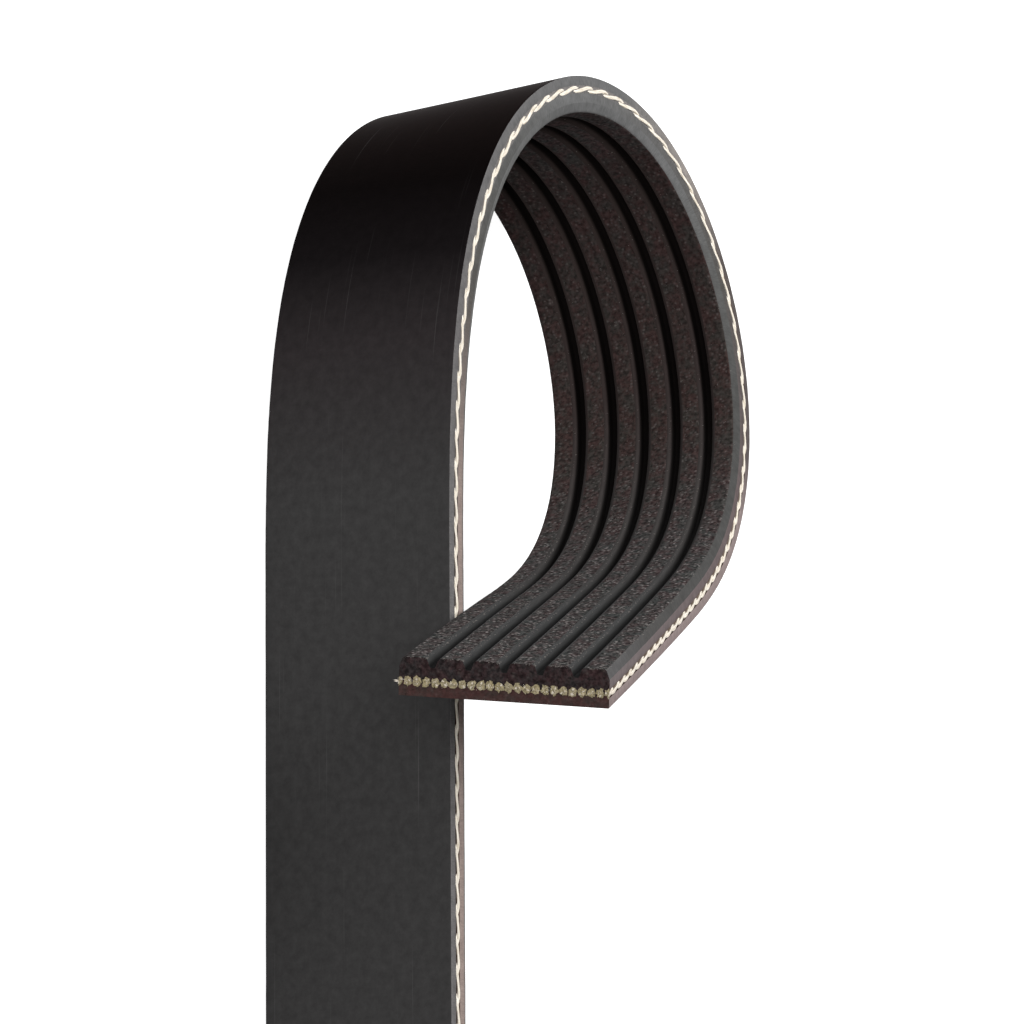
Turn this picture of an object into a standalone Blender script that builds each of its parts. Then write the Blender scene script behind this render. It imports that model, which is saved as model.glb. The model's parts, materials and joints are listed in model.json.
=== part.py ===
"""A curled length of six-rib serpentine belt, laid on its side edge.

The belt is one moulded rubber body with flat-topped ribs on its inner face, and a row of tensile cords
bedded between the ribs and the smooth back. The cords at the two sides were slit lengthwise with the
belt, so each shows a flat half in the side face.

Units are metres. The belt's straight end lies towards +X, its ribs face +Y, and +Z runs across the
belt's width, from the side that it lies on to the other.
"""

import math

import bpy
import bmesh
import numpy as np
from mathutils import Matrix, Vector
from mathutils.geometry import intersect_point_tri

# Section of the belt, seen on its cut end. Heights are counted from the row of cords, ribs upwards.
RIB_COUNT = 6
RIB_PITCH = 0.00356
RIB_TOP = 0.0024
GROOVE_DEPTH = 0.001
GROOVE_ANGLE = math.radians(40)
GROOVE_FLOOR_WIDTH = 0.0005
RIB_CORNER = 0.00025
BACK_THICKNESS = 0.00145

# Tensile cords. They fill the belt's width, but for the rubber left between their channels.
CORD_COUNT = 24
CORD_WALL = 0.00005
CORD_GAP = 0.00003
CORD_SIDES = 6

# Lengths along the belt, from its straight end to its cut end
STRAIGHT_LENGTH = 0.075
CURL_IN_LENGTH = 0.084
CURL_OUT_LENGTH = 0.0778
TAIL_LENGTH = 0.0379

# The curl tightens evenly to this radius and opens again. Meanwhile the belt's twist grows and dies away
# over these two lengths, and is as much as lets the free end pass the straight's side with this gap.
TIGHTEST_RADIUS = 0.0187
TWIST_RISE = 0.113
TWIST_FALL = 0.1033
PASSING_GAP = 0.0003

# Facets along the belt
TRACE_STEP = 0.0005
PASSING_STEP = 0.001
PASSING_TRIES = 16
MOST_TWIST = 20
CURL_FACETS = 9
TAIL_FACETS = 2
FACET_SPREAD = 0.62

SMOOTH_ANGLE = math.radians(30)

# The side planes pass through the foot of the outer ribs, where the next groove's floor would begin
GROOVE_FOOT = RIB_TOP - GROOVE_DEPTH
FLANK_RUN = GROOVE_DEPTH * math.tan(GROOVE_ANGLE / 2)
BELT_WIDTH = RIB_COUNT * RIB_PITCH - GROOVE_FLOOR_WIDTH
CORD_PITCH = BELT_WIDTH / (CORD_COUNT - 1)
CORD_RADIUS = (CORD_PITCH - CORD_WALL) / 2 - CORD_GAP
BELT_LENGTH = STRAIGHT_LENGTH + CURL_IN_LENGTH + CURL_OUT_LENGTH + TAIL_LENGTH


def clear_scene():
    for obj in list(bpy.data.objects):
        bpy.data.objects.remove(obj, do_unlink=True)


def make_collection(name):
    collection = bpy.data.collections.new(name)
    bpy.context.scene.collection.children.link(collection)
    return collection


def make_material(name, colour, roughness):
    material = bpy.data.materials.new(name)
    material.use_nodes = True
    shader = material.node_tree.nodes["Principled BSDF"]
    shader.inputs["Base Color"].default_value = (*colour, 1.0)
    shader.inputs["Roughness"].default_value = roughness
    shader.inputs["Metallic"].default_value = 0.0
    return material


def bend_at(distance):
    """Curvature of the belt towards its ribs, this far from its straight end."""
    start = STRAIGHT_LENGTH
    crown = start + CURL_IN_LENGTH
    return np.interp(distance, (start, crown, crown + CURL_OUT_LENGTH), (0, 1 / TIGHTEST_RADIUS, 0))


def twist_at(distance, most_twist):
    """Twist of the belt in radians for each metre, this far from its straight end."""
    start = STRAIGHT_LENGTH
    peak = start + TWIST_RISE
    return np.interp(distance, (start, peak, peak + TWIST_FALL), (0, most_twist, 0))


def facet_distances():
    """Where the belt's facets meet: closer together where the curl is tight."""
    shares = [(step / CURL_FACETS) ** FACET_SPREAD for step in range(1, CURL_FACETS + 1)]
    crown = STRAIGHT_LENGTH + CURL_IN_LENGTH
    curl_end = crown + CURL_OUT_LENGTH
    curl_in = [STRAIGHT_LENGTH + CURL_IN_LENGTH * share for share in shares]
    curl_out = [curl_end - CURL_OUT_LENGTH * share for share in reversed(shares[:-1])]
    tail = [curl_end + TAIL_LENGTH * step / TAIL_FACETS for step in range(TAIL_FACETS + 1)]
    return [0.0, STRAIGHT_LENGTH] + curl_in + curl_out + tail


def turn_of(distance, length, most_twist):
    """Rotation of the belt's section over a short length, in the section's own axes."""
    turn = Vector((twist_at(distance, most_twist), 0, -bend_at(distance))) * length
    if turn.length == 0:
        return Matrix.Identity(4)
    return Matrix.Rotation(turn.length, 4, turn)


def trace_route(distances, most_twist):
    """Place of the belt's section at each distance: it looks along -X, with its ribs towards +Y."""
    place = Matrix.Identity(4)
    places = [place.copy()]
    for start, end in zip(distances, distances[1:]):
        steps = max(1, round((end - start) / TRACE_STEP))
        length = (end - start) / steps
        for step in range(steps):
            half_turn = turn_of(start + (step + 0.5) * length, length / 2, most_twist)
            place = place @ half_turn @ Matrix.Translation((-length, 0, 0)) @ half_turn
        places.append(place.copy())
    return places


def gap_where_passing(most_twist):
    """Height of the free end's lower side over the upper side of the belt that it passes.

    Each station of the belt looks for later points of the free end that lie level with its own section.
    """
    distances = np.linspace(0, BELT_LENGTH, round(BELT_LENGTH / PASSING_STEP) + 1)
    places = np.array([np.array(place) for place in trace_route(distances, most_twist)])
    heights = np.array([-BACK_THICKNESS, GROOVE_FOOT, RIB_TOP])
    sides = np.array([BELT_WIDTH / 2, BELT_WIDTH / 2, BELT_WIDTH / 2 - FLANK_RUN])
    lower_side = np.stack([np.zeros(3), heights, -sides, np.ones(3)], axis=-1)
    passing_points = np.einsum("sij,pj->spi", places, lower_side)
    seen = np.einsum("eij,spj->espi", np.linalg.inv(places), passing_points)
    along, height, across = seen[..., 0], seen[..., 1], seen[..., 2]
    later = distances[None, :, None] - distances[:, None, None] > CURL_IN_LENGTH
    beside = (height > -BACK_THICKNESS - PASSING_GAP) & (height < RIB_TOP + PASSING_GAP)
    level = later & beside & (np.abs(along) < PASSING_STEP)
    gaps = across - np.interp(height, heights, sides)
    return gaps[level].min(initial=BELT_WIDTH)


def twist_to_pass():
    """The least twist with which the free end passes the rest of the belt."""
    low = 0
    high = MOST_TWIST
    for _ in range(PASSING_TRIES):
        middle = (low + high) / 2
        if gap_where_passing(middle) < PASSING_GAP:
            low = middle
        else:
            high = middle
    return high


def rib_outline(centre):
    """One rib from the foot of its lower flank to the foot of its upper one, its top corners cut."""
    foot = RIB_PITCH / 2 - GROOVE_FLOOR_WIDTH / 2
    slope = math.tan(GROOVE_ANGLE / 2)
    top = foot - FLANK_RUN
    half = [
        (GROOVE_FOOT, foot),
        (RIB_TOP - RIB_CORNER, top + RIB_CORNER * slope),
        (RIB_TOP, top - RIB_CORNER),
    ]
    lower = [(height, centre - across) for height, across in half]
    upper = [(height, centre + across) for height, across in reversed(half)]
    return lower + upper


def arc_points(centre, radius, start, turn, steps):
    """Points on an arc round a cord's centre. Angles are counted from the side of the ribs."""
    angles = [start + turn * step / steps for step in range(steps + 1)]
    return [(radius * math.cos(angle), centre + radius * math.sin(angle)) for angle in angles]


def cord_outline(index, radius):
    """A whole cord's outline, or the half that is left of one in a side face."""
    centre = CORD_PITCH * index - BELT_WIDTH / 2
    half = CORD_SIDES // 2
    if index == 0:
        return arc_points(centre, radius, 0, math.pi, half)
    if index == CORD_COUNT - 1:
        return arc_points(centre, radius, math.pi, math.pi, half)
    return arc_points(centre, radius, 0, 2 * math.pi, CORD_SIDES)[:-1]


def body_outlines():
    """The rubber's outline, open to the side faces at the slit cords, then a channel for each whole cord."""
    side = BELT_WIDTH / 2
    outline = [(-BACK_THICKNESS, -side)]
    outline += reversed(cord_outline(0, CORD_RADIUS + CORD_GAP))
    for rib in range(RIB_COUNT):
        outline += rib_outline(RIB_PITCH * (rib - (RIB_COUNT - 1) / 2))
    outline += reversed(cord_outline(CORD_COUNT - 1, CORD_RADIUS + CORD_GAP))
    outline.append((-BACK_THICKNESS, side))
    channels = [cord_outline(index, CORD_RADIUS + CORD_GAP) for index in range(1, CORD_COUNT - 1)]
    return [outline] + channels


def filled_section(name, outlines):
    """A flat mesh of the outlines, those inside another cut out of it."""
    curve = bpy.data.curves.new(name + "_section", "CURVE")
    curve.dimensions = "2D"
    curve.fill_mode = "BOTH"
    for outline in outlines:
        spline = curve.splines.new("POLY")
        spline.points.add(len(outline) - 1)
        spline.use_cyclic_u = True
        for point, (height, across) in zip(spline.points, outline):
            point.co = (height, across, 0, 1)
    guide = bpy.data.objects.new(name + "_section", curve)
    bpy.context.scene.collection.objects.link(guide)
    bpy.context.view_layer.update()
    mesh = bpy.data.meshes.new_from_object(guide.evaluated_get(bpy.context.evaluated_depsgraph_get()))
    bpy.data.objects.remove(guide, do_unlink=True)
    return mesh


def sweep(name, outlines, places, material, collection):
    """A closed solid of the section carried along the belt."""
    mesh = filled_section(name, outlines)
    shape = bmesh.new()
    shape.from_mesh(mesh)
    bmesh.ops.remove_doubles(shape, verts=shape.verts, dist=1e-7)
    upright = Matrix(((0, 0, 1, 0), (1, 0, 0, 0), (0, 1, 0, 0), (0, 0, 0, 1)))
    bmesh.ops.transform(shape, matrix=places[0] @ upright, verts=shape.verts)
    front = list(shape.verts) + list(shape.edges) + list(shape.faces)
    for before, after in zip(places, places[1:]):
        front = bmesh.ops.extrude_face_region(shape, geom=front)["geom"]
        moved = [item for item in front if isinstance(item, bmesh.types.BMVert)]
        bmesh.ops.transform(shape, matrix=after @ before.inverted(), verts=moved)
    bmesh.ops.recalc_face_normals(shape, faces=shape.faces)
    mesh.clear_geometry()
    shape.to_mesh(mesh)
    shape.free()
    mesh.name = name
    mesh.shade_smooth()
    mesh.set_sharp_from_angle(angle=SMOOTH_ANGLE)
    mesh.materials.append(material)
    obj = bpy.data.objects.new(name, mesh)
    collection.objects.link(obj)
    return obj


def centre_of_mass(mesh):
    """The centroid of a closed mesh's volume."""
    mesh.calc_loop_triangles()
    corners = np.array([[mesh.vertices[index].co for index in face.vertices] for face in mesh.loop_triangles])
    volumes = np.einsum("ij,ij->i", corners[:, 0], np.cross(corners[:, 1], corners[:, 2]))
    return Vector(volumes @ corners.sum(axis=1) / (4 * volumes.sum()))


def resting_direction(mesh):
    """Which way is down when the belt lies at rest on its lower side edge.

    It can only rest on a face of its convex hull that its centre of mass stands over.
    """
    centre = centre_of_mass(mesh)
    hull = bmesh.new()
    for vertex in mesh.vertices:
        hull.verts.new(vertex.co)
    bmesh.ops.convex_hull(hull, input=hull.verts)
    downs = []
    for face in hull.faces:
        face.normal_update()
        corners = [vertex.co.copy() for vertex in face.verts]
        foot = centre + face.normal * face.normal.dot(corners[0] - centre)
        if intersect_point_tri(foot, *corners):
            downs.append(face.normal.copy())
    hull.free()
    return min(downs, key=lambda normal: normal.z)


def lay_down(pieces, collection):
    """Stands every piece on the surface, with the middle of the whole belt above the origin."""
    base = bpy.data.objects.new("belt", None)
    collection.objects.link(base)
    turned = resting_direction(pieces[0].data).rotation_difference(Vector((0, 0, -1))).to_matrix()
    points = [turned @ vertex.co for piece in pieces for vertex in piece.data.vertices]
    low = Vector([min(point[axis] for point in points) for axis in range(3)])
    high = Vector([max(point[axis] for point in points) for axis in range(3)])
    middle = (low + high) / 2
    base.rotation_euler = turned.to_euler()
    base.location = (-middle.x, -middle.y, -low.z)
    for piece in pieces:
        piece.parent = base


def main():
    clear_scene()
    collection = make_collection("serpentine_belt")
    rubber = make_material("black_rubber", (0.028, 0.026, 0.026), 0.62)
    fibre = make_material("undyed_cord", (0.62, 0.56, 0.43), 0.85)
    places = trace_route(facet_distances(), twist_to_pass())
    pieces = [sweep("rubber_body", body_outlines(), places, rubber, collection)]
    for index in range(CORD_COUNT):
        outline = cord_outline(index, CORD_RADIUS)
        pieces.append(sweep(f"cord_{index + 1:02d}", [outline], places, fibre, collection))
    lay_down(pieces, collection)


main()
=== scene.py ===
"""Looks of a cut length of six-rib serpentine belt that lies on its side edge.

The CAD nodes are plain and faceted. This file stands a fine model in their place: the moulded rubber with its
smooth back, its ground sides and its fibre-filled ribs, the twisted cords whose cut ends show in the section,
and the loose fibre ends on the ribs. All sizes are in metres unless a name ends in _mm.
"""

import json
import logging
import math
from dataclasses import dataclass, field
from enum import IntEnum

import bpy
import numpy as np
from bpy.types import Material, Node, NodeSocket, NodeTree, Object
from mathutils import Matrix, Vector, noise
from mathutils.geometry import delaunay_2d_cdt
from numpy.random import Generator, default_rng


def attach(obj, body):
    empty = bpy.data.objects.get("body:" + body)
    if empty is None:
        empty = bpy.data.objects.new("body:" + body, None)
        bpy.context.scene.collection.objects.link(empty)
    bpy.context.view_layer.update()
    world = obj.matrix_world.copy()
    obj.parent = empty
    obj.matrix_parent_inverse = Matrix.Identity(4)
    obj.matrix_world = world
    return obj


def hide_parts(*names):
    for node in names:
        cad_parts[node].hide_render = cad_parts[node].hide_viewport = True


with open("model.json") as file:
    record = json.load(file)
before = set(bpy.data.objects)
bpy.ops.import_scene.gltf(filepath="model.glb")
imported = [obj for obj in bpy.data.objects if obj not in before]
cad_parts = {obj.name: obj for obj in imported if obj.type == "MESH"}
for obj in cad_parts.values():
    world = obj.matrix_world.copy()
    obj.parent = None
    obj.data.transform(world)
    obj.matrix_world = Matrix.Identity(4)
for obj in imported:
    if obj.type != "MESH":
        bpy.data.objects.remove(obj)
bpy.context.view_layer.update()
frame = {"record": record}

BODY = "root"
MM = 0.001
CORD_COUNT = 24
# The UV map of distances along the belt and round its section, and the one of distances and heights
PLACE_UV = "belt_mm"
HEIGHT_UV = "height_mm"
# Edges that turn more than this stay crisp
SHARP = math.radians(38)

# Two numbers that belong together, mostly a range
Pair = tuple[float, float]
Triple = tuple[float, float, float]
# Distances in mm from the straight end, with the colour at each
Marks = tuple[tuple[float, str], ...]
# Points, faces, and two pattern coordinates in mm for each face corner
Shape = tuple[np.ndarray, list, np.ndarray]
# A finish's colour, and the pattern that stands out as its relief, if there is one
Paint = tuple[NodeSocket, NodeSocket | None]

log = logging.getLogger("belt")


class Zone(IntEnum):
    """The surfaces of the rubber, each with a finish of its own. The number is its material slot."""

    BACK = 0
    SIDE = 1
    FLANK = 2
    RIB_TOP = 3
    CHANNEL = 4
    CUT_BACK = 5
    CUT_RIBS = 6
    EDGE_FLANK = 7
    RIB_SIDE = 8
    SLIT = 9


# Colours and nodes


def linear(hex_colour: str) -> tuple[float, float, float, float]:
    """Turns an sRGB colour into the linear one that shaders take.

    Args:
        hex_colour: The colour as six hex digits after a hash.

    Returns:
        Linear red, green, blue and an alpha of 1.
    """
    channels = [int(hex_colour[start:start + 2], 16) / 255 for start in (1, 3, 5)]
    light = [c / 12.92 if c <= 0.04045 else ((c + 0.055) / 1.055) ** 2.4 for c in channels]
    return (*light, 1.0)


def flat(colour: str) -> Marks:
    """Gives the marks of one colour all along the belt."""
    return (0, colour), (1, colour)


def add_node(tree: NodeTree, kind: str, inputs: dict | None = None) -> Node:
    """Adds a node to a material or a world, with its settings and links.

    Args:
        tree: The node tree that it goes in.
        kind: The node's type name, without the ShaderNode that all start with.
        inputs: By name, a value for one of its properties or sockets, or an output socket to link to one.

    Returns:
        The new node.
    """
    node = tree.nodes.new("ShaderNode" + kind)
    for name, value in (inputs or {}).items():
        if isinstance(value, NodeSocket):
            tree.links.new(value, node.inputs[name])
        elif isinstance(name, str) and hasattr(node, name):
            setattr(node, name, value)
        else:
            node.inputs[name].default_value = value
    return node


def new_material(name: str) -> tuple[Material, NodeTree, Node]:
    """Starts a material.

    Args:
        name: The finish's name.

    Returns:
        The material, its node tree and its Principled shader.
    """
    material = bpy.data.materials.new(name)
    material.use_nodes = True
    return material, material.node_tree, material.node_tree.nodes["Principled BSDF"]


def measured(tree: NodeTree, uv_map: str, axis: str) -> NodeSocket:
    """Reads where a point of the surface lies, in mm.

    Args:
        tree: The node tree.
        uv_map: The map that says so.
        axis: X for the distance along the belt, Y for the map's other coordinate.

    Returns:
        The coordinate.
    """
    place = add_node(tree, "UVMap", {"uv_map": uv_map})
    return add_node(tree, "SeparateXYZ", {"Vector": place.outputs["UV"]}).outputs[axis]


def stretched(tree: NodeTree, along_mm: float, across_mm: float) -> NodeSocket:
    """Gives pattern coordinates that count in one pattern's own lengths.

    Args:
        tree: The node tree.
        along_mm: How long the pattern's spots are along the belt.
        across_mm: How wide they are round its section.

    Returns:
        The scaled coordinates.
    """
    place = add_node(tree, "UVMap", {"uv_map": PLACE_UV})
    scale = (1 / along_mm, 1 / across_mm, 1.0)
    return add_node(tree, "Mapping", {"Scale": scale, "Vector": place.outputs["UV"]}).outputs["Vector"]


def scaled(tree: NodeTree, colour: NodeSocket, value: NodeSocket, found: Pair, shares: Pair,
           way: str = "LINEAR") -> NodeSocket:
    """Makes a colour darker and paler by a value, which is a pattern's or a place's.

    Args:
        tree: The node tree.
        colour: The colour, or a plain value.
        value: What it changes by.
        found: Two of the values.
        shares: What the colour is multiplied by at those two.
        way: How it changes between them.

    Returns:
        The changed colour.
    """
    share = add_node(tree, "MapRange", {
        "interpolation_type": way, "From Min": found[0], "From Max": found[1], "To Min": shares[0],
        "To Max": shares[1], "Value": value}).outputs["Result"]
    inputs = {"operation": "SCALE", "Vector": colour, "Scale": share}
    return add_node(tree, "VectorMath", inputs).outputs["Vector"]


def mixed(tree: NodeTree, first: NodeSocket | tuple, second: NodeSocket | tuple, value: NodeSocket,
          reach: Pair, most: float = 1.0) -> NodeSocket:
    """Passes from one colour to another as a value rises.

    Args:
        tree: The node tree.
        first: The colour at low values.
        second: The colour at high values.
        value: The value.
        reach: Where the change starts and where it ends.
        most: How much of the second colour there is at the end.

    Returns:
        The colour.
    """
    share = add_node(tree, "MapRange", {"From Min": reach[0], "From Max": reach[1], "To Max": most,
                                        "Value": value}).outputs["Result"]
    return add_node(tree, "MixRGB", {"Fac": share, "Color1": first, "Color2": second}).outputs["Color"]


def along_belt(tree: NodeTree, marks: Marks) -> NodeSocket:
    """Gives a colour that changes from place to place along the belt.

    Args:
        tree: The node tree.
        marks: The places and their colours.

    Returns:
        The colour.
    """
    start, end = marks[0][0], marks[-1][0]
    inputs = {"From Min": start, "From Max": end, "Value": measured(tree, PLACE_UV, "X")}
    share = add_node(tree, "MapRange", inputs).outputs["Result"]
    ramp = add_node(tree, "ValToRGB", {"Fac": share})
    stops = ramp.color_ramp.elements
    stops.remove(stops[1])
    stops[0].color = linear(marks[0][1])
    for distance, colour in marks[1:]:
        stops.new((distance - start) / (end - start)).color = linear(colour)
    return ramp.outputs["Color"]


@dataclass(frozen=True)
class Pattern:
    """Unevenness of a surface: soft spots of a real size along the belt and round its section.

    detail counts its finer layers and harshness says how much they matter. found holds two of its values,
    and shares what a colour is multiplied by there.
    """

    along_mm: float
    across_mm: float
    detail: float
    harshness: float = 0.5
    found: Pair = (0.3, 0.7)
    shares: Pair = (1.0, 1.0)

    def value(self, tree: NodeTree) -> NodeSocket:
        """Gives the pattern's value."""
        return add_node(tree, "TexNoise", {
            "Scale": 1.0, "Detail": self.detail, "Roughness": self.harshness,
            "Vector": stretched(tree, self.along_mm, self.across_mm)}).outputs["Fac"]

    def change(self, tree: NodeTree, colour: NodeSocket, value: NodeSocket) -> NodeSocket:
        """Makes a colour darker and paler by the pattern's value."""
        return scaled(tree, colour, value, self.found, self.shares)


# Finishes


@dataclass(frozen=True, kw_only=True)
class Finish:
    """A dry surface. Each kind of finish says what gives it its colour and its relief."""

    name: str
    roughness: float = 0.9
    specular: float = 0.02
    relief: float = 0.4
    relief_mm: float = 0.02

    def paint(self, tree: NodeTree) -> Paint:
        """Gives the finish's colour and relief."""
        raise NotImplementedError

    def build(self) -> Material:
        """Builds the material.

        Returns:
            The material.
        """
        material, tree, shader = new_material(self.name)
        colour, pattern = self.paint(tree)
        tree.links.new(colour, shader.inputs["Base Color"])
        if pattern is not None:
            inputs = {"Strength": self.relief, "Distance": self.relief_mm * MM, "Height": pattern}
            tree.links.new(add_node(tree, "Bump", inputs).outputs["Normal"], shader.inputs["Normal"])
        shader.inputs["Roughness"].default_value = self.roughness
        shader.inputs["Specular IOR Level"].default_value = self.specular
        return material


@dataclass(frozen=True, kw_only=True)
class MouldedBack(Finish):
    """EPDM rubber moulded against a smooth sleeve: black, with a painted grey reflection on the straight and
    tail.

    The painted reflection makes both a soft dark grey and leaves the bend nearly black. The sleeve's grain
    gives a faint mottle. Handling has left a few light scratches along the belt, drawn about twice as wide as
    they are.
    """

    name: str = "moulded_epdm_back"
    roughness: float = 0.5
    specular: float = 0.003
    relief: float = 0.25
    # Painted reflection along the belt: soft grey on the straight and tail, nearly black in the bend
    painted_reflection: Marks = (
        (84, "#403f3f"), (100, "#322e2f"), (110, "#171415"), (119, "#090606"), (134, "#110807"),
        (148, "#1e1212"), (200, "#393737"))
    grain: Pattern = Pattern(1.1, 1.1, 5.0, 0.65, shares=(0.84, 1.16))
    scratches: Pattern = Pattern(24.0, 0.22, 2.0, found=(0.67, 0.8))
    scratch: str = "#6a6868"
    scratch_strength: float = 0.3

    def paint(self, tree: NodeTree) -> Paint:
        """Scratches the mottled, painted reflection.

        Args:
            tree: The node tree.

        Returns:
            The colour and the relief.
        """
        grain = self.grain.value(tree)
        mottled = self.grain.change(tree, along_belt(tree, self.painted_reflection), grain)
        return mixed(tree, mottled, linear(self.scratch), self.scratches.value(tree), self.scratches.found,
                     self.scratch_strength), grain


@dataclass(frozen=True, kw_only=True)
class GroundSide(Finish):
    """The slit and ground side of the belt: dry, light grey rubber with fine marks across its thickness.

    Each layer's colour changes along the belt: partly its own tone, pinkish towards the free end,
    and partly painted light and shade, with a painted highlight in the curl.
    The marks are drawn about twice as wide as the grit is, so that they show.
    """

    # Colours along the belt, with painted light and shade in them
    shades: Marks
    roughness: float = 0.85
    marks: Pattern = Pattern(0.16, 0.8, 4.0, 0.7, shares=(0.8, 1.2))
    blotches: Pattern = Pattern(1.2, 1.2, 3.0, shares=(0.88, 1.12))

    def paint(self, tree: NodeTree) -> Paint:
        """Marks and blotches the shades.

        Args:
            tree: The node tree.

        Returns:
            The colour and the relief.
        """
        colour = along_belt(tree, self.shades)
        marks, blotches = self.marks.value(tree), self.blotches.value(tree)
        return self.blotches.change(tree, self.marks.change(tree, colour, marks), blotches), marks


@dataclass(frozen=True, kw_only=True)
class SlitChannel(Finish):
    """The rubber round a slit cord: ground level with the side in the curl, torn elsewhere.

    On the straight and in the tail the channel's side towards the belt's back is darker and browner:
    painted shade beside the cord.
    """

    name: str = "torn_rubber_by_cord"
    # The half towards the back is darker on the straight and in the tail: painted shade beside the cord
    back_half: Marks = (
        (70, "#2e211c"), (104, "#6d6b6a"), (160, "#7c7876"), (176, "#55483f"), (200, "#3f322b"),
        (236, "#31251f"))
    rib_half: Marks = (
        (70, "#4a3a33"), (104, "#6b6968"), (160, "#646261"), (186, "#585452"), (205, "#66594f"))
    parting_mm: Pair = (-0.12, 0.12)
    grain: Pattern = Pattern(0.25, 0.25, 3.0, shares=(0.7, 1.3))

    def paint(self, tree: NodeTree) -> Paint:
        """Puts the two halves together, without relief.

        Args:
            tree: The node tree.

        Returns:
            The colour and the relief.
        """
        both = mixed(tree, along_belt(tree, self.back_half), along_belt(tree, self.rib_half),
                     measured(tree, HEIGHT_UV, "Y"), self.parting_mm)
        return self.grain.change(tree, both, self.grain.value(tree)), None


@dataclass(frozen=True, kw_only=True)
class FibreRubber(Finish):
    """Rubber filled with chopped fibre, cut or ground to shape: dark and matt, flecked with fibre ends.

    The flecks are drawn about three times as wide as the fibres are, so that they show. Towards the free end
    the grain and flecks grow stronger: partly coarser grinding, which leaves more of the fibres bare, and
    partly painted light on the lit tail, with painted shade in the curl. Where the shades change along the
    belt, they carry painted light and shade.
    """

    shades: Marks
    relief: float = 0.8
    relief_mm: float = 0.06
    fleck: str = "#aaa3a1"
    fleck_mm: float = 0.38
    fleck_reach: float = 0.55
    fleck_contrast: float = 2.0
    bare_share: float = 0.55
    calm_flecks: float = 0.2
    warm: str = "#ffecec"
    cool: str = "#ebfdfa"
    tint: Pattern = Pattern(2.4, 2.4, 4.0, 0.8, found=(0.42, 0.58))
    grain: Pattern = Pattern(0.5, 0.5, 3.0, 0.6, found=(0.36, 0.64))
    # What the grain multiplies the colour by, in the curl and towards the free end, where coarser grinding
    # and painted light make it harsher
    calm: Pair = (0.58, 1.42)
    coarse: Pair = (0.25, 1.8)
    coarser_and_lit_mm: Pair = (188.0, 232.0)

    def flecks(self, tree: NodeTree) -> NodeSocket:
        """Scatters the bare fibre ends.

        Args:
            tree: The node tree.

        Returns:
            How much a point is fibre, from 0 to 1.
        """
        ends = add_node(tree, "TexVoronoi", {"voronoi_dimensions": "2D", "Scale": 1.0,
                                             "Vector": stretched(tree, self.fleck_mm, self.fleck_mm)})
        near = add_node(tree, "MapRange", {"From Min": self.fleck_reach, "From Max": 0.0,
                                           "Value": ends.outputs["Distance"]})
        chance = add_node(tree, "SeparateColor", {"Color": ends.outputs["Color"]})
        bright = add_node(tree, "MapRange", {"From Min": self.bare_share, "Value": chance.outputs["Red"]})
        few = add_node(tree, "Math", {"operation": "POWER", 0: bright.outputs["Result"],
                                      1: self.fleck_contrast})
        spots = add_node(tree, "Math", {"operation": "MULTIPLY", 0: near.outputs["Result"],
                                        1: few.outputs["Value"]})
        # Flecks dimmed in the curl: partly fewer bare fibres, partly painted shade
        return scaled(tree, spots.outputs["Value"], measured(tree, PLACE_UV, "X"), self.coarser_and_lit_mm,
                      (self.calm_flecks, 1.0), "SMOOTHSTEP")

    def paint(self, tree: NodeTree) -> Paint:
        """Tinges, grains and flecks the shades.

        Args:
            tree: The node tree.

        Returns:
            The colour and the relief.
        """
        grain = self.grain.value(tree)
        tinge = mixed(tree, linear(self.warm), linear(self.cool), self.tint.value(tree), self.tint.found)
        tinged = add_node(tree, "VectorMath", {"operation": "MULTIPLY", 0: along_belt(tree, self.shades),
                                               1: tinge}).outputs["Vector"]
        calm, coarse = (scaled(tree, tinged, grain, self.grain.found, shares)
                        for shares in (self.calm, self.coarse))
        base = mixed(tree, calm, coarse, measured(tree, PLACE_UV, "X"), self.coarser_and_lit_mm)
        colour = add_node(tree, "MixRGB", {"Fac": self.flecks(tree), "Color1": base,
                                           "Color2": linear(self.fleck)})
        return colour.outputs["Color"], grain


@dataclass(frozen=True, kw_only=True)
class MouldedFlank(Finish):
    """The sloped flanks and the floor of a groove: smoother than the rib tops, a dark grey.

    They get blacker towards the floor, sooner in the curl than near the free end: painted shade in the
    groove.
    Their shades along the belt carry painted light and shade as well.
    """

    shades: Marks
    roughness: float = 0.65
    streaks: Pattern = Pattern(3.0, 0.25, 4.0, 0.6, (0.35, 0.65), (0.88, 1.12))
    curl_black_to_lit_mm: Pair = (1.85, 2.3)
    curl_floor_share: float = 0.15
    tail_black_to_lit_mm: Pair = (1.55, 2.35)
    tail_floor_share: float = 0.28
    curl_to_tail_mm: Pair = (188.0, 225.0)

    def paint(self, tree: NodeTree) -> Paint:
        """Streaks the shades and darkens them towards the groove's floor as painted shade.

        Args:
            tree: The node tree.

        Returns:
            The colour and the relief.
        """
        streaks = self.streaks.value(tree)
        lit = self.streaks.change(tree, along_belt(tree, self.shades), streaks)
        # Painted shade: blacker towards the groove's floor, sooner in the curl
        curl, tail = (scaled(tree, lit, measured(tree, HEIGHT_UV, "Y"), reach_mm, (floor, 1.0), "SMOOTHSTEP")
                      for reach_mm, floor in ((self.curl_black_to_lit_mm, self.curl_floor_share),
                                              (self.tail_black_to_lit_mm, self.tail_floor_share)))
        return mixed(tree, curl, tail, measured(tree, PLACE_UV, "X"), self.curl_to_tail_mm), streaks


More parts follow.
